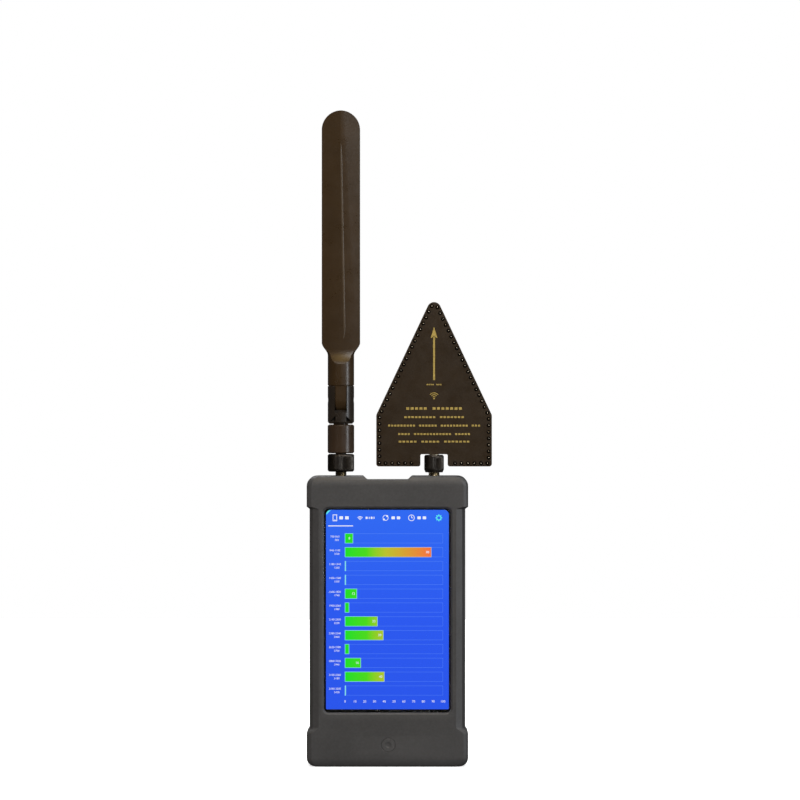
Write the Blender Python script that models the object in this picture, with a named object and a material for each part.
"""Handheld spectrum analyzer in a rubber boot, with a folding paddle antenna and a flat pointed
directional antenna, each screwed onto a threaded jack in the top wall.

Metres, +Z up. The origin is the centre of the bottom face. The display faces -Y, and the antennas
point along +Z: the paddle on the left (-X) jack, the pointed board on the right (+X) jack.
"""

import math

import bmesh
import bpy

MM = 0.001

# Boot: thick corner bumpers at both ends and a narrower middle
BUMPER_HALF_WIDTH = 43.65 * MM
MIDDLE_HALF_WIDTH = 42.1 * MM
BOOT_HALF_DEPTH = 15.0 * MM
BOOT_HEIGHT = 157.1 * MM
BOTTOM_CORNER = 4.8 * MM
TOP_CORNER = 5.4 * MM
EDGE_INSET = 2.0 * MM
BUMPER_EDGE = (3.2 * MM, 3.2 * MM)
MIDDLE_EDGE = (5.6 * MM, 4.2 * MM)
BOTTOM_BUMPER_TOP = (17.8 * MM, 21.8 * MM)
TOP_BUMPER_BOTTOM = (139.2 * MM, 140.6 * MM)
WINDOW_HALF_WIDTH = 34.2 * MM
WINDOW_Z = (28.1 * MM, 139.6 * MM)
RECESS_HALF_WIDTHS = (11.2 * MM, 13.4 * MM)
RECESS_DEPTH = 2.1 * MM

# Case inside the boot, split into a front frame and a deep rear tub
GAP = 0.3 * MM
CAVITY_X = 40.1 * MM
CAVITY_Y = (-13.6 * MM, 13.0 * MM)
CAVITY_Z = (2.0 * MM, 153.8 * MM)
WALL = 1.8 * MM
CASE_X = CAVITY_X - GAP
CASE_Y = (CAVITY_Y[0] + GAP, CAVITY_Y[1] - GAP)
CASE_Z = (CAVITY_Z[0] + GAP, CAVITY_Z[1] - GAP)
CASE_EDGE = 3.0 * MM
SPLIT_FRONT = -9.0 * MM
SPLIT_REAR = -7.6 * MM
FRONT_WALL_BACK = -11.0 * MM
SCREW_X = 34.4 * MM
SCREW_Z = (7.4 * MM, 148.4 * MM)
BOSS_RADIUS = 3.0 * MM

# Display stack
GLASS_X = 37.4 * MM
GLASS_Z = (25.6 * MM, 142.6 * MM)
GLASS_Y = (-13.2 * MM, -12.2 * MM)
PANEL_X = 35.4 * MM
PANEL_Z = (27.4 * MM, 141.0 * MM)
PANEL_Y = (-11.9 * MM, -10.7 * MM)
BACKLIGHT_Y = (-10.4 * MM, -8.9 * MM)

# Electronics
BOARD_X = 35.5 * MM
BOARD_Y = (-6.0 * MM, -5.0 * MM)
BOARD_Z = (13.0 * MM, 142.0 * MM)
SHIELD_Y = (-4.7 * MM, -2.2 * MM)
BATTERY_X = 28.0 * MM
BATTERY_Y = (2.0 * MM, 9.0 * MM)
BATTERY_Z = (24.0 * MM, 104.0 * MM)
USB_X = 16.0 * MM
USB_Y = -3.4 * MM
SPEAKER_X = -20.0 * MM

# Power button on the right side
BUTTON_Y = -3.4 * MM
BUTTON_Z = 112.0 * MM
BUTTON_HALF_LENGTH = 6.0 * MM
BUTTON_RADIUS = 2.0 * MM
BUTTON_TRAVEL = 0.8 * MM

# Jacks and antennas
JACK_X = 25.3 * MM
JACK_RADIUS = 3.15 * MM
JACK_TOP = 165.0 * MM
BOOT_HOLE_RADIUS = 5.2 * MM
NUT_BORE = 3.45 * MM
RING_DROP = 2.6 * MM
RING_HALF_GROOVE = 0.5 * MM
PLUG_RADIUS = 2.9 * MM
PLUG_BORE = 1.9 * MM
PADDLE_NUT_Z = (159.3 * MM, 168.9 * MM)
PADDLE_NUT_RADIUS = 7.2 * MM
BASE_Z = (169.3 * MM, 184.9 * MM)
BARREL_RADIUS = 7.2 * MM
NECK_RADIUS = 7.15 * MM
KNUCKLE_Z = (185.3 * MM, 205.8 * MM)
PIVOT_Z = 198.2 * MM
FORK_HALF_GAP = 3.3 * MM
NECK_Z = (206.1 * MM, 221.2 * MM)
PADDLE_Z = (221.5 * MM, 355.3 * MM)
PADDLE_HALF_WIDTH = 10.4 * MM
PADDLE_HALF_THICK = 4.5 * MM
PADDLE_WALL = 1.2 * MM
PADDLE_RIDGE_FALL = 1.1 * MM
PADDLE_PLUG_TOP = 171.0 * MM
POINTER_NUT_Z = (158.9 * MM, 168.4 * MM)
POINTER_NUT_RADIUS = 5.35 * MM
BOARD_HALF_THICK = 1.0 * MM
POINTER_BOTTOM = 162.1 * MM
POINTER_SHOULDER = 190.1 * MM
POINTER_TIP = 251.4 * MM
POINTER_HALF_WIDTH = 31.4 * MM
POINTER_NOTCH = (7.4 * MM, 168.75 * MM)
POINTER_TIP_RADIUS = 3.75 * MM
POINTER_CORNER_RADIUS = 1.5 * MM
POINTER_TIP_HALF_ANGLE = 25.34
POINTER_PLUG_TOP = 168.6 * MM

# Material: colour, roughness, metallic
FINISHES = {
    "grey_silicone": ((0.062, 0.060, 0.059), 0.75, 0.0),
    "black_plastic": ((0.020, 0.020, 0.021), 0.55, 0.0),
    "seal_rubber": ((0.010, 0.010, 0.010), 0.85, 0.0),
    "cover_glass": ((0.010, 0.012, 0.016), 0.05, 0.0),
    "lit_display": ((0.025, 0.120, 0.910), 0.30, 0.0),
    "white_plastic": ((0.800, 0.800, 0.780), 0.45, 0.0),
    "circuit_board": ((0.010, 0.080, 0.030), 0.50, 0.0),
    "tinned_steel": ((0.600, 0.600, 0.580), 0.30, 1.0),
    "screw_steel": ((0.120, 0.120, 0.125), 0.35, 1.0),
    "battery_wrap": ((0.030, 0.032, 0.040), 0.40, 0.0),
    "jack_metal": ((0.420, 0.360, 0.270), 0.28, 1.0),
    "gold_plate": ((0.800, 0.560, 0.200), 0.25, 1.0),
    "lead_jacket": ((0.060, 0.030, 0.015), 0.50, 0.0),
    "black_metal": ((0.028, 0.024, 0.021), 0.32, 1.0),
    "antenna_plastic": ((0.036, 0.025, 0.015), 0.45, 0.0),
    "board_mask": ((0.028, 0.020, 0.014), 0.40, 0.0),
}


def clear_scene():
    for old in list(bpy.data.objects):
        bpy.data.objects.remove(old, do_unlink=True)


def finish_of(name):
    material = bpy.data.materials.get(name)
    if material is None:
        material = bpy.data.materials.new(name)
        material.use_nodes = True
        colour, roughness, metallic = FINISHES[name]
        shader = material.node_tree.nodes["Principled BSDF"]
        shader.inputs["Base Color"].default_value = (*colour, 1.0)
        shader.inputs["Roughness"].default_value = roughness
        shader.inputs["Metallic"].default_value = metallic
    return material


def add_object(name, bm, finish=None, place=(0, 0, 0), sharp_degrees=40):
    """Makes one object from bm. Without a finish it is a cutter or a guide, which isn't a piece."""
    bmesh.ops.recalc_face_normals(bm, faces=bm.faces)
    mesh = bpy.data.meshes.new(name)
    bm.to_mesh(mesh)
    bm.free()
    mesh.shade_smooth()
    mesh.set_sharp_from_angle(angle=math.radians(sharp_degrees))
    obj = bpy.data.objects.new(name, mesh)
    obj.location = place
    bpy.context.scene.collection.objects.link(obj)
    if finish is None:
        obj.hide_render = True
        obj.display_type = "WIRE"
    else:
        mesh.materials.append(finish_of(finish))
    return obj


def boolean(obj, other, operation="DIFFERENCE"):
    modifier = obj.modifiers.new(f"{operation.lower()} {other.name}", "BOOLEAN")
    modifier.operation = operation
    modifier.solver = "EXACT"
    modifier.object = other


def round_edges(obj, width, segments=2):
    modifier = obj.modifiers.new("edge", "BEVEL")
    modifier.width = width
    modifier.segments = segments
    modifier.limit_method = "ANGLE"


def arc(centre, radii, start, stop, steps):
    """Points along an elliptic arc; angles in degrees, radii as (a, b)."""
    points = []
    for i in range(steps + 1):
        angle = math.radians(start + (stop - start) * i / steps)
        points.append((centre[0] + radii[0] * math.cos(angle), centre[1] + radii[1] * math.sin(angle)))
    return points


def rounded_rectangle(lo, hi, radii, steps=3):
    """Outline from corner lo to corner hi with elliptic corners of radii (a, b)."""
    a, b = radii
    return (
        arc((hi[0] - a, hi[1] - b), radii, 0, 90, steps)
        + arc((lo[0] + a, hi[1] - b), radii, 90, 180, steps)
        + arc((lo[0] + a, lo[1] + b), radii, 180, 270, steps)
        + arc((hi[0] - a, lo[1] + b), radii, 270, 360, steps)
    )


def along(axis, first, second, level):
    """A point on the plane across axis; first and second follow X, Y, Z order."""
    return {"X": (level, first, second), "Y": (first, level, second), "Z": (first, second, level)}[axis]


def prism(outline, axis, lo, hi):
    return loft([[along(axis, a, b, level) for a, b in outline] for level in (lo, hi)])


def loft(rings, closed=False):
    """Joins rings of equal length; the ends are capped unless the rings close on themselves."""
    bm = bmesh.new()
    made = [[bm.verts.new(point) for point in ring] for ring in rings]
    pairs = list(zip(made, made[1:]))
    if closed:
        pairs.append((made[-1], made[0]))
    for low, high in pairs:
        for i in range(len(low)):
            j = (i + 1) % len(low)
            bm.faces.new((low[i], low[j], high[j], high[i]))
    if not closed:
        bm.faces.new(made[0])
        bm.faces.new(made[-1])
    return bm


def block(x, y, z):
    outline = [(x[0], y[0]), (x[1], y[0]), (x[1], y[1]), (x[0], y[1])]
    return prism(outline, "Z", z[0], z[1])


def round_bar(radius, lo, hi, axis="Z", centre=(0, 0), segments=24):
    outline = arc(centre, (radius, radius), 0, 360, segments)[:-1]
    return prism(outline, axis, lo, hi)


def turned(profile, segments=32):
    """Solid of revolution about Z from a closed profile of (radius, z), all off the axis."""
    rings = []
    for i in range(segments):
        angle = 2 * math.pi * i / segments
        rings.append([(r * math.cos(angle), r * math.sin(angle), z) for r, z in profile])
    return loft(rings, closed=True)


def tube_profile(inner, outer, lo, hi):
    return [(inner, lo), (outer, lo), (outer, hi), (inner, hi)]


def boot_section(half_width, half_depth, radii, z):
    outline = rounded_rectangle((-half_width, -half_depth), (half_width, half_depth), radii, steps=5)
    return [(x, y, z) for x, y in outline]


def boot_end(corner, z_end, sign):
    """Sections of one bumper's rounded end, from the flat face inwards."""
    steps = 4
    sections = []
    for i in range(steps + 1):
        angle = math.radians(90 * i / steps)
        share = 1 - math.sin(angle)
        z = z_end + sign * corner * (1 - math.cos(angle))
        half_width = BUMPER_HALF_WIDTH - corner * share
        half_depth = BOOT_HALF_DEPTH - EDGE_INSET * share
        sections.append(boot_section(half_width, half_depth, BUMPER_EDGE, z))
    return sections


def make_boot():
    middle = [
        boot_section(BUMPER_HALF_WIDTH, BOOT_HALF_DEPTH, BUMPER_EDGE, BOTTOM_BUMPER_TOP[0]),
        boot_section(MIDDLE_HALF_WIDTH, BOOT_HALF_DEPTH, MIDDLE_EDGE, BOTTOM_BUMPER_TOP[1]),
        boot_section(MIDDLE_HALF_WIDTH, BOOT_HALF_DEPTH, MIDDLE_EDGE, TOP_BUMPER_BOTTOM[0]),
        boot_section(BUMPER_HALF_WIDTH, BOOT_HALF_DEPTH, BUMPER_EDGE, TOP_BUMPER_BOTTOM[1]),
    ]
    top = boot_end(TOP_CORNER, BOOT_HEIGHT, -1)[::-1]
    boot = add_object("boot", loft(boot_end(BOTTOM_CORNER, 0, 1) + middle + top), "grey_silicone")

    cavity_outline = rounded_rectangle(
        (-CAVITY_X, CAVITY_Y[0]), (CAVITY_X, CAVITY_Y[1]), (CASE_EDGE + GAP, CASE_EDGE + GAP)
    )
    boolean(boot, add_object("boot_cavity_cutter", prism(cavity_outline, "Z", *CAVITY_Z)))
    window = rounded_rectangle(
        (-WINDOW_HALF_WIDTH, WINDOW_Z[0]), (WINDOW_HALF_WIDTH, WINDOW_Z[1]), (2.7 * MM, 2.7 * MM)
    )
    boolean(boot, add_object("boot_window_cutter", prism(window, "Y", -20 * MM, -10 * MM)))
    inner, outer = RECESS_HALF_WIDTHS
    floor = BOOT_HEIGHT - RECESS_DEPTH
    run = (outer - inner) / RECESS_DEPTH * MM
    recess = [
        (-inner, floor),
        (inner, floor),
        (outer + run, BOOT_HEIGHT + MM),
        (-outer - run, BOOT_HEIGHT + MM),
    ]
    boolean(boot, add_object("boot_recess_cutter", prism(recess, "Y", -20 * MM, 20 * MM)))
    for side in (-1, 1):
        hole = round_bar(BOOT_HOLE_RADIUS, 150 * MM, 160 * MM, centre=(side * JACK_X, 0), segments=28)
        boolean(boot, add_object(f"boot_jack_cutter_{side}", hole))
    boolean(boot, add_object("boot_button_cutter", button_outline_prism(0.6 * MM, 36 * MM, 50 * MM)))
    boolean(boot, add_object("boot_usb_cutter", usb_prism(6.5 * MM, 2.9 * MM, -5 * MM, 3 * MM)))
    cut_sound_holes(boot, "boot")
    return boot


def button_outline_prism(margin, lo, hi):
    radius = BUTTON_RADIUS + margin
    half = BUTTON_HALF_LENGTH + margin
    corner = (radius * 0.98, radius * 0.98)
    outline = rounded_rectangle(
        (BUTTON_Y - radius, BUTTON_Z - half), (BUTTON_Y + radius, BUTTON_Z + half), corner
    )
    return prism(outline, "X", lo, hi)


def usb_prism(half_width, half_height, lo, hi):
    corner = (half_height * 0.9, half_height * 0.9)
    outline = rounded_rectangle(
        (USB_X - half_width, USB_Y - half_height), (USB_X + half_width, USB_Y + half_height), corner
    )
    return prism(outline, "Z", lo, hi)


def cut_sound_holes(obj, owner):
    """A short row of round holes in the bottom wall under the speaker."""
    count = 4
    pitch = 3.0 * MM
    for i in range(count):
        x = SPEAKER_X + (i - (count - 1) / 2) * pitch
        hole = round_bar(0.9 * MM, -5 * MM, 4.6 * MM, centre=(x, 2.0 * MM), segments=8)
        boolean(obj, add_object(f"{owner}_sound_cutter_{i + 1}", hole))


def case_prism(lo_y, hi_y, margin=0.0):
    """Rounded case outline between two depths, drawn in by margin on the sides and ends."""
    radius = CASE_EDGE - margin * 0.9
    outline = rounded_rectangle((-CASE_X + margin, lo_y), (CASE_X - margin, hi_y), (radius, radius))
    return prism(outline, "Z", CASE_Z[0] + margin, CASE_Z[1] - margin)


def make_front_case():
    case = add_object("front_case", case_prism(*CASE_Y), "black_plastic")
    behind = block((-50 * MM, 50 * MM), (SPLIT_FRONT, 20 * MM), (-5 * MM, 170 * MM))
    boolean(case, add_object("front_case_split_cutter", behind))
    inside_x = CASE_X - WALL
    inside = block(
        (-inside_x, inside_x), (FRONT_WALL_BACK, 20 * MM), (CASE_Z[0] + WALL, CASE_Z[1] - WALL)
    )
    boolean(case, add_object("front_case_hollow_cutter", inside))
    seat_x = GLASS_X + GAP
    glass_seat = block(
        (-seat_x, seat_x), (-20 * MM, GLASS_Y[1] + GAP), (GLASS_Z[0] - GAP, GLASS_Z[1] + GAP)
    )
    boolean(case, add_object("glass_seat_cutter", glass_seat))
    panel_hole = block(
        (-PANEL_X - GAP, PANEL_X + GAP), (-20 * MM, 0), (PANEL_Z[0] - GAP, PANEL_Z[1] + GAP)
    )
    boolean(case, add_object("panel_hole_cutter", panel_hole))
    for number, (x, z) in enumerate(screw_places(), 1):
        pillar = round_bar(BOSS_RADIUS, FRONT_WALL_BACK - 0.5 * MM, -8.0 * MM, "Y", (x, z), 20)
        boolean(case, add_object(f"front_pillar_{number}", pillar), "UNION")
        hole = round_bar(1.1 * MM, -10.6 * MM, 0, "Y", (x, z), 12)
        boolean(case, add_object(f"front_pillar_cutter_{number}", hole))
    return case


def screw_places():
    return [(side * SCREW_X, z) for z in SCREW_Z for side in (-1, 1)]


def make_rear_case():
    case = add_object("rear_case", case_prism(*CASE_Y), "black_plastic")
    ahead = block((-50 * MM, 50 * MM), (-20 * MM, SPLIT_REAR), (-5 * MM, 170 * MM))
    boolean(case, add_object("rear_case_split_cutter", ahead))
    inside = case_prism(-20 * MM, CASE_Y[1] - WALL, WALL)
    boolean(case, add_object("rear_case_hollow_cutter", inside))
    for number, (x, z) in enumerate(screw_places(), 1):
        boss = round_bar(BOSS_RADIUS, SPLIT_REAR, CASE_Y[1] - 0.5 * MM, "Y", (x, z), 20)
        boolean(case, add_object(f"rear_boss_{number}", boss), "UNION")
        shank_hole = round_bar(1.3 * MM, -20 * MM, 20 * MM, "Y", (x, z), 12)
        boolean(case, add_object(f"rear_shank_cutter_{number}", shank_hole))
        head_hole = round_bar(2.4 * MM, 0, 20 * MM, "Y", (x, z), 16)
        boolean(case, add_object(f"rear_head_cutter_{number}", head_hole))
    for side in (-1, 1):
        hole = round_bar(JACK_RADIUS + GAP, 148 * MM, 160 * MM, centre=(side * JACK_X, 0), segments=24)
        boolean(case, add_object(f"rear_jack_cutter_{side}", hole))
    boolean(case, add_object("case_button_cutter", button_outline_prism(GAP, 36 * MM, 50 * MM)))
    boolean(case, add_object("case_usb_cutter", usb_prism(4.9 * MM, 2.0 * MM, 0, 6 * MM)))
    cut_sound_holes(case, "case")
    return case


def make_case_seal():
    width = 1.2 * MM
    front = SPLIT_FRONT + GAP
    rear = SPLIT_REAR - GAP
    seal = add_object("case_seal", seal_prism(0.3 * MM, front, rear), "seal_rubber")
    boolean(seal, add_object("case_seal_cutter", seal_prism(0.3 * MM + width, front - MM, rear + MM)))
    return seal


def seal_prism(margin, lo, hi):
    radius = CASE_EDGE
    outline = rounded_rectangle(
        (-CASE_X + margin, CASE_Z[0] + margin), (CASE_X - margin, CASE_Z[1] - margin), (radius, radius)
    )
    return prism(outline, "Y", lo, hi)


def make_screws():
    """Cross-head screws from the rear, their heads sunk in the bosses."""
    head_radius = 2.0 * MM
    shank_radius = 0.9 * MM
    arm = 1.1 * MM
    arm_half_width = 0.25 * MM
    for number, (x, z) in enumerate(screw_places(), 1):
        head = round_bar(head_radius, 0.3 * MM, 2.0 * MM, "Y", (x, z), 16)
        screw = add_object(f"case_screw_{number}", head, "screw_steel")
        shank = round_bar(shank_radius, -10.2 * MM, 0.6 * MM, "Y", (x, z), 12)
        boolean(screw, add_object(f"screw_shank_{number}", shank), "UNION")
        for name, (across, up) in (("slot", (arm, arm_half_width)), ("cross", (arm_half_width, arm))):
            recess = block((x - across, x + across), (1.2 * MM, 3 * MM), (z - up, z + up))
            boolean(screw, add_object(f"screw_{name}_cutter_{number}", recess))


def make_display():
    corner = (1.5 * MM, 1.5 * MM)
    glass = rounded_rectangle((-GLASS_X, GLASS_Z[0]), (GLASS_X, GLASS_Z[1]), corner)
    add_object("cover_glass", prism(glass, "Y", *GLASS_Y), "cover_glass")
    add_object("display_panel", block((-PANEL_X, PANEL_X), PANEL_Y, PANEL_Z), "lit_display")
    add_object("backlight", block((-PANEL_X, PANEL_X), BACKLIGHT_Y, PANEL_Z), "white_plastic")


def make_electronics():
    board = rounded_rectangle((-BOARD_X, BOARD_Z[0]), (BOARD_X, BOARD_Z[1]), (2 * MM, 2 * MM))
    add_object("main_board", prism(board, "Y", *BOARD_Y), "circuit_board")
    radio = add_object(
        "radio_shield", block((-22 * MM, 22 * MM), SHIELD_Y, (112 * MM, 136 * MM)), "tinned_steel"
    )
    round_edges(radio, 0.4 * MM)
    processor = add_object(
        "processor_shield", block((-16 * MM, 16 * MM), SHIELD_Y, (60 * MM, 96 * MM)), "tinned_steel"
    )
    round_edges(processor, 0.4 * MM)
    battery = add_object(
        "battery", block((-BATTERY_X, BATTERY_X), BATTERY_Y, BATTERY_Z), "battery_wrap"
    )
    round_edges(battery, 1.2 * MM)
    make_battery_tray()
    make_speaker()
    motor = round_bar(2.2 * MM, -31 * MM, -24 * MM, "X", (-2.2 * MM, 104 * MM), 20)
    add_object("vibration_motor", motor, "tinned_steel")
    switch_z = (BUTTON_Z - 3 * MM, BUTTON_Z + 3 * MM)
    switch = block((31.0 * MM, 35.8 * MM), (-4.7 * MM, -2.1 * MM), switch_z)
    add_object("power_switch", switch, "black_plastic")
    usb = add_object("usb_socket", usb_prism(4.5 * MM, 1.6 * MM, 2.6 * MM, 10.0 * MM), "tinned_steel")
    boolean(usb, add_object("usb_mouth_cutter", usb_prism(4.1 * MM, 1.25 * MM, 0, 8.5 * MM)))
    half = (3.3 * MM, 0.35 * MM)
    tongue_z = (3.4 * MM, 9.0 * MM)
    tongue = block((USB_X - half[0], USB_X + half[0]), (USB_Y - half[1], USB_Y + half[1]), tongue_z)
    boolean(usb, add_object("usb_tongue", tongue), "UNION")


def make_battery_tray():
    wall = 1.2 * MM
    room = 0.5 * MM
    x = BATTERY_X + room
    z = (BATTERY_Z[0] - room, BATTERY_Z[1] + room)
    y = (BATTERY_Y[0] - GAP - wall, 6.0 * MM)
    tray = add_object(
        "battery_tray", block((-x - wall, x + wall), y, (z[0] - wall, z[1] + wall)), "black_plastic"
    )
    boolean(tray, add_object("battery_tray_cutter", block((-x, x), (BATTERY_Y[0] - GAP, 20 * MM), z)))


def make_speaker():
    half = (7.5 * MM, 4.5 * MM)
    centre_y = 2.0 * MM
    outline = rounded_rectangle(
        (SPEAKER_X - half[0], centre_y - half[1]),
        (SPEAKER_X + half[0], centre_y + half[1]),
        (2 * MM, 2 * MM),
    )
    speaker = add_object("speaker", prism(outline, "Z", 5.0 * MM, 9.0 * MM), "black_plastic")
    dish = rounded_rectangle(
        (SPEAKER_X - half[0] + MM, centre_y - half[1] + MM),
        (SPEAKER_X + half[0] - MM, centre_y + half[1] - MM),
        (1.5 * MM, 1.5 * MM),
    )
    boolean(speaker, add_object("speaker_dish_cutter", prism(dish, "Z", 3 * MM, 6.2 * MM)))


def make_power_button():
    """Side key; the flange inside the wall keeps it in. Its travel is along -X."""
    rest_face = 41.9 * MM
    button = add_object("power_button", button_outline_prism(0, 37.3 * MM, rest_face), "black_plastic")
    flange = button_outline_prism(1.2 * MM, 37.0 * MM, 37.7 * MM)
    boolean(button, add_object("power_button_flange", flange), "UNION")


def make_jack(name, x):
    """Bulkhead jack: flange under the top wall, washer and hexagon nut above it."""
    profile = [
        (0.8 * MM, 144.0 * MM),
        (2.0 * MM, 144.0 * MM),
        (2.0 * MM, 149.4 * MM),
        (4.6 * MM, 149.4 * MM),
        (4.6 * MM, 151.4 * MM),
        (JACK_RADIUS, 151.4 * MM),
        (JACK_RADIUS, JACK_TOP - 0.3 * MM),
        (JACK_RADIUS - 0.3 * MM, JACK_TOP),
        (2.3 * MM, JACK_TOP),
        (2.3 * MM, 152.0 * MM),
        (0.8 * MM, 152.0 * MM),
    ]
    place = (x, 0, 0)
    add_object(f"{name}_jack", turned(profile, 28), "jack_metal", place)
    insulator = tube_profile(0.8 * MM, 2.0 * MM, 152.3 * MM, 161.0 * MM)
    add_object(f"{name}_jack_insulator", turned(insulator, 20), "white_plastic", place)
    contact = round_bar(0.45 * MM, 142.8 * MM, 157.5 * MM, segments=12)
    add_object(f"{name}_jack_contact", contact, "gold_plate", place)
    washer = tube_profile(JACK_RADIUS + 0.2 * MM, 4.6 * MM, 153.8 * MM, 154.3 * MM)
    add_object(f"{name}_jack_washer", turned(washer, 24), "tinned_steel", place)
    hexagon = round_bar(4.6 * MM, 154.6 * MM, 156.6 * MM, segments=6)
    nut = add_object(f"{name}_jack_nut", hexagon, "tinned_steel", place)
    nut_bore = round_bar(JACK_RADIUS + 0.15 * MM, 150 * MM, 160 * MM, segments=24)
    boolean(nut, add_object(f"{name}_jack_nut_cutter", nut_bore, place=place))


def make_lead(name, x, landing_x):
    """Thin coaxial lead from the jack's tail down and across to the radio shield."""
    start = (x, 0, 141.6 * MM)
    bend = (x, 0.6 * MM, 134.0 * MM)
    end = (landing_x, -0.9 * MM, 124.0 * MM)
    data = bpy.data.curves.new(f"{name}_lead", "CURVE")
    data.dimensions = "3D"
    data.bevel_depth = 0.6 * MM
    data.bevel_resolution = 2
    data.use_fill_caps = True
    spline = data.splines.new("POLY")
    steps = 14
    spline.points.add(steps)
    for i in range(steps + 1):
        t = i / steps
        weights = ((1 - t) ** 2, 2 * t * (1 - t), t**2)
        point = [sum(w * p[k] for w, p in zip(weights, (start, bend, end))) for k in range(3)]
        spline.points[i].co = (*point, 1.0)
    lead = bpy.data.objects.new(f"{name}_lead", data)
    data.materials.append(finish_of("lead_jacket"))
    bpy.context.scene.collection.objects.link(lead)


def nut_profile(radius, z, chamfer):
    """Coupling nut: thread bore, a groove for the retaining ring and a smaller bore at the top."""
    ring_z = z[1] - RING_DROP
    return [
        (NUT_BORE, z[0]),
        (radius - chamfer, z[0]),
        (radius, z[0] + chamfer),
        (radius, z[1] - chamfer),
        (radius - chamfer, z[1]),
        (3.2 * MM, z[1]),
        (3.2 * MM, z[1] - 1.5 * MM),
        (NUT_BORE, z[1] - 1.5 * MM),
        (NUT_BORE, ring_z + RING_HALF_GROOVE),
        (3.9 * MM, ring_z + RING_HALF_GROOVE),
        (3.9 * MM, ring_z - RING_HALF_GROOVE),
        (NUT_BORE, ring_z - RING_HALF_GROOVE),
    ]


def spigot_profile(nut_z, top):
    """Plug body inside the nut, with a groove for the retaining ring; bored for the insulator."""
    ring_z = nut_z[1] - RING_DROP
    foot = JACK_TOP + GAP
    groove = (ring_z - 0.4 * MM, ring_z + 0.4 * MM)
    groove_radius = 2.4 * MM
    return [
        (PLUG_BORE, foot),
        (PLUG_RADIUS, foot),
        (PLUG_RADIUS, groove[0]),
        (groove_radius, groove[0]),
        (groove_radius, groove[1]),
        (PLUG_RADIUS, groove[1]),
        (PLUG_RADIUS, top),
        (PLUG_BORE, top),
    ]


def make_plug_insides(name, x, nut_z, top):
    """Retaining ring, insulator and centre pin, the same on both antennas."""
    place = (x, 0, 0)
    ring_z = nut_z[1] - RING_DROP
    ring = tube_profile(2.6 * MM, 3.65 * MM, ring_z - 0.2 * MM, ring_z + 0.2 * MM)
    add_object(f"{name}_retaining_ring", turned(ring, 24), "tinned_steel", place)
    foot = JACK_TOP + 0.5 * MM
    insulator = tube_profile(0.65 * MM, 1.7 * MM, foot, top - 0.3 * MM)
    add_object(f"{name}_plug_insulator", turned(insulator, 20), "white_plastic", place)
    pin = round_bar(0.45 * MM, 158.4 * MM, top - 0.6 * MM, segments=12)
    add_object(f"{name}_plug_pin", pin, "gold_plate", place)


def make_paddle_antenna():
    place = (-JACK_X, 0, 0)
    nut = turned(nut_profile(PADDLE_NUT_RADIUS, PADDLE_NUT_Z, 0.7 * MM), 40)
    add_object("paddle_nut", nut, "black_metal", place)
    make_paddle_base(place)
    make_plug_insides("paddle", -JACK_X, PADDLE_NUT_Z, PADDLE_PLUG_TOP)
    make_knuckle(place)
    pin = round_bar(1.5 * MM, -6.4 * MM, 6.4 * MM, "X", (0, PIVOT_Z), 20)
    add_object("hinge_pin", pin, "black_metal", place)
    make_neck(place)
    for name, sign in (("paddle_front", -1), ("paddle_back", 1)):
        make_paddle_half(name, sign, place)
    element = block((-7.0 * MM, 7.0 * MM), (-0.4 * MM, 0.4 * MM), (240.0 * MM, 344.0 * MM))
    add_object("paddle_element", element, "circuit_board", place)


def make_paddle_base(place):
    """Round barrel on the plug body; a stub at the top carries the swivelling knuckle."""
    groove = 0.5 * MM
    stub = 4.0 * MM
    stub_top = 188.4 * MM
    profile = spigot_profile(PADDLE_NUT_Z, PADDLE_PLUG_TOP)
    outside = [
        (PLUG_RADIUS, BASE_Z[0]),
        (BARREL_RADIUS - groove, BASE_Z[0]),
        (BARREL_RADIUS, BASE_Z[0] + groove),
        (BARREL_RADIUS, BASE_Z[1] - groove),
        (BARREL_RADIUS - groove, BASE_Z[1]),
        (stub, BASE_Z[1]),
        (stub, stub_top),
        (0.9 * MM, stub_top),
        (0.9 * MM, PADDLE_PLUG_TOP),
    ]
    add_object("paddle_base", turned(profile[:6] + outside + profile[7:], 40), "black_metal", place)


def make_knuckle(place):
    """Fork that turns on the base's stub; its rear is rounded about the hinge so the neck clears it."""
    barrel = round_bar(NECK_RADIUS, *KNUCKLE_Z, segments=40)
    knuckle = add_object("paddle_knuckle", barrel, "antenna_plastic", place)
    socket = round_bar(4.2 * MM, 180 * MM, 188.7 * MM, segments=24)
    boolean(knuckle, add_object("knuckle_socket_cutter", socket, place=place))
    slot_floor = PIVOT_Z - 6.8 * MM
    slot = block((-FORK_HALF_GAP, FORK_HALF_GAP), (-20 * MM, 20 * MM), (slot_floor, 230 * MM))
    boolean(knuckle, add_object("knuckle_slot_cutter", slot, place=place))
    corner = [(0, 230 * MM), (20 * MM, 230 * MM), (20 * MM, PIVOT_Z)]
    corner += arc((0, PIVOT_Z), (7.4 * MM, 7.4 * MM), 0, 90, 8)
    rounding = prism(corner, "X", -20 * MM, 20 * MM)
    boolean(knuckle, add_object("knuckle_corner_cutter", rounding, place=place))
    hole = round_bar(1.6 * MM, -20 * MM, 20 * MM, "X", (0, PIVOT_Z), 20)
    boolean(knuckle, add_object("knuckle_pin_cutter", hole, place=place))


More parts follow.
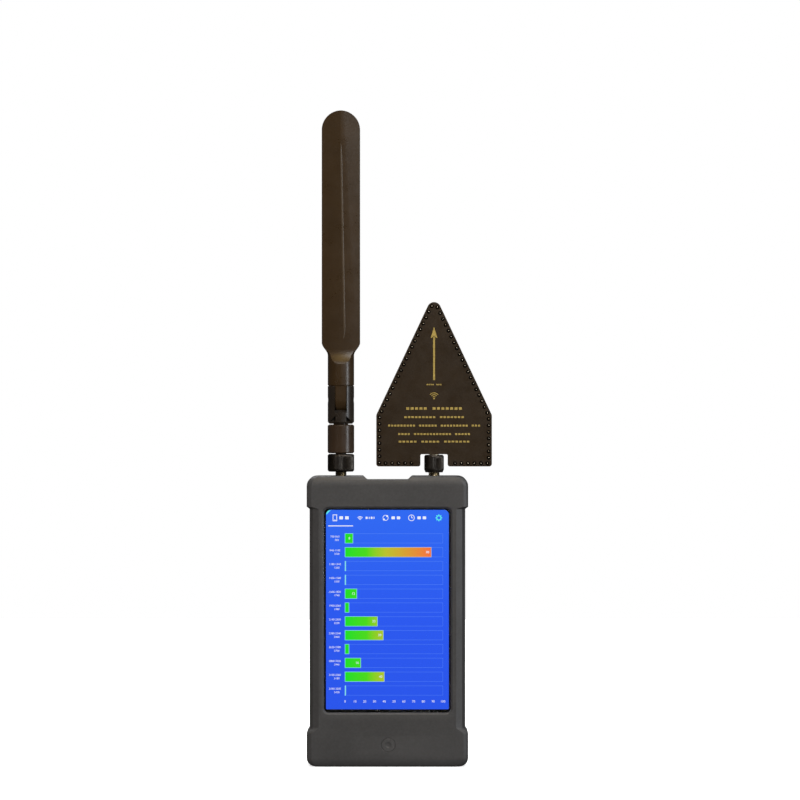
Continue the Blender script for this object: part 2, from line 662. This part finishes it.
def make_neck(place):
    """Round neck with a hinge tongue below and a flat spigot that holds the paddle halves."""
    neck = add_object("paddle_neck", round_bar(NECK_RADIUS, *NECK_Z, segments=40), "antenna_plastic", place)
    tongue_radius = 6.4 * MM
    tongue = arc((0, PIVOT_Z), (tongue_radius, tongue_radius), 180, 360, 12)
    tongue += [(tongue_radius, NECK_Z[0] + MM), (-tongue_radius, NECK_Z[0] + MM)]
    half = FORK_HALF_GAP - GAP
    boolean(neck, add_object("neck_tongue", prism(tongue, "X", -half, half), place=place), "UNION")
    spigot = block((-5.5 * MM, 5.5 * MM), (-1.9 * MM, 1.9 * MM), (NECK_Z[1] - MM, 236 * MM))
    boolean(neck, add_object("neck_spigot", spigot, place=place), "UNION")
    hole = round_bar(1.6 * MM, -20 * MM, 20 * MM, "X", (0, PIVOT_Z), 20)
    boolean(neck, add_object("neck_pin_cutter", hole, place=place))


def paddle_outline(margin):
    """Front outline of the paddle: round top, straight sides, a flare down to the neck."""
    half = PADDLE_HALF_WIDTH - margin
    neck_half = NECK_RADIUS - margin
    bottom = PADDLE_Z[0] + margin
    outline = arc((0, PADDLE_Z[1] - PADDLE_HALF_WIDTH), (half, half), 0, 180, 16)
    outline += [(-half, 229 * MM), (-half + 0.4 * MM, 227 * MM), (-neck_half, bottom)]
    outline += [(neck_half, bottom), (half - 0.4 * MM, 227 * MM), (half, 229 * MM)]
    return outline


def make_paddle_half(name, sign, place):
    """Hollow half with a low ridge down its middle; its face falls away to both sides."""
    seam = 0.05 * MM
    over = PADDLE_HALF_THICK + 0.1 * MM
    rows = ((0.0, seam), (0.0, 2.8 * MM), (0.6 * MM, 3.4 * MM), (0.7 * MM, over))
    rings = [[(x, sign * depth, z) for x, z in paddle_outline(inset)] for inset, depth in rows]
    half = add_object(name, loft(rings), "antenna_plastic", place)
    side = PADDLE_HALF_WIDTH + MM
    side_depth = PADDLE_HALF_THICK - PADDLE_RIDGE_FALL * side / PADDLE_HALF_WIDTH
    above = 2 * PADDLE_HALF_THICK
    roof = [(0, PADDLE_HALF_THICK), (side, side_depth), (side, above), (-side, above), (-side, side_depth)]
    roof_cutter = prism([(x, sign * y) for x, y in roof], "Z", 200 * MM, 370 * MM)
    boolean(half, add_object(f"{name}_roof_cutter", roof_cutter, place=place))
    depth = PADDLE_HALF_THICK - PADDLE_RIDGE_FALL - PADDLE_WALL
    hollow = prism(paddle_outline(PADDLE_WALL + 0.6 * MM), "Y", -depth, depth)
    boolean(half, add_object(f"{name}_hollow_cutter", hollow, place=place))
    mouth = block((-5.8 * MM, 5.8 * MM), (-depth, depth), (200 * MM, 236.4 * MM))
    boolean(half, add_object(f"{name}_mouth_cutter", mouth, place=place))


def fillet(previous, corner, following, radius, steps=4):
    """Points that round one corner of an outline."""
    def direction(point):
        run, rise = point[0] - corner[0], point[1] - corner[1]
        length = math.hypot(run, rise)
        return run / length, rise / length

    a, b = direction(previous), direction(following)
    half_angle = math.acos(a[0] * b[0] + a[1] * b[1]) / 2
    middle = (a[0] + b[0], a[1] + b[1])
    length = math.hypot(*middle)
    distance = radius / math.sin(half_angle)
    centre = (corner[0] + middle[0] / length * distance, corner[1] + middle[1] / length * distance)
    touch = radius / math.tan(half_angle)
    first = (corner[0] + a[0] * touch, corner[1] + a[1] * touch)
    last = (corner[0] + b[0] * touch, corner[1] + b[1] * touch)
    begin = math.atan2(first[1] - centre[1], first[0] - centre[0])
    end = math.atan2(last[1] - centre[1], last[0] - centre[0])
    sweep = (end - begin + math.pi) % (2 * math.pi) - math.pi
    return [
        (
            centre[0] + radius * math.cos(begin + sweep * i / steps),
            centre[1] + radius * math.sin(begin + sweep * i / steps),
        )
        for i in range(steps + 1)
    ]


def pointer_outline():
    """Arrow-shaped board with a notch for the nut in its lower edge."""
    tip_over = POINTER_TIP_RADIUS / math.sin(math.radians(POINTER_TIP_HALF_ANGLE)) - POINTER_TIP_RADIUS
    notch_half, notch_top = POINTER_NOTCH
    corners = [
        ((notch_half, notch_top), 0.8 * MM),
        ((notch_half, POINTER_BOTTOM), POINTER_CORNER_RADIUS),
        ((POINTER_HALF_WIDTH, POINTER_BOTTOM), POINTER_CORNER_RADIUS),
        ((POINTER_HALF_WIDTH, POINTER_SHOULDER), 2 * POINTER_CORNER_RADIUS),
        ((0, POINTER_TIP + tip_over), POINTER_TIP_RADIUS),
    ]
    mirrored = [((-x, z), radius) for (x, z), radius in reversed(corners[:-1])]
    corners += mirrored
    outline = []
    for i, (corner, radius) in enumerate(corners):
        before = corners[i - 1][0]
        after = corners[(i + 1) % len(corners)][0]
        outline += fillet(before, corner, after, radius)
    return outline


def make_pointer_antenna():
    place = (JACK_X, 0, 0)
    nut = turned(nut_profile(POINTER_NUT_RADIUS, POINTER_NUT_Z, 0.6 * MM), 40)
    add_object("pointer_nut", nut, "black_metal", place)
    body = turned(spigot_profile(POINTER_NUT_Z, POINTER_PLUG_TOP), 28)
    plug = add_object("pointer_plug", body, "jack_metal", place)
    stem = block((-2.4 * MM, 2.4 * MM), (1.3 * MM, 2.85 * MM), (168.5 * MM, 175.5 * MM))
    boolean(plug, add_object("pointer_plug_stem", stem, place=place), "UNION")
    foot = block((-3.2 * MM, 3.2 * MM), (1.3 * MM, 4.3 * MM), (169.0 * MM, 176.0 * MM))
    boolean(plug, add_object("pointer_plug_foot", foot, place=place), "UNION")
    make_plug_insides("pointer", JACK_X, POINTER_NUT_Z, POINTER_PLUG_TOP)
    board = prism(pointer_outline(), "Y", -BOARD_HALF_THICK, BOARD_HALF_THICK)
    add_object("pointer_board", board, "board_mask", place)


def build():
    clear_scene()
    make_boot()
    make_front_case()
    make_rear_case()
    make_case_seal()
    make_screws()
    make_display()
    make_electronics()
    make_power_button()
    make_jack("paddle", -JACK_X)
    make_jack("pointer", JACK_X)
    make_lead("paddle", -JACK_X, -15 * MM)
    make_lead("pointer", JACK_X, 15 * MM)
    make_paddle_antenna()
    make_pointer_antenna()


build()
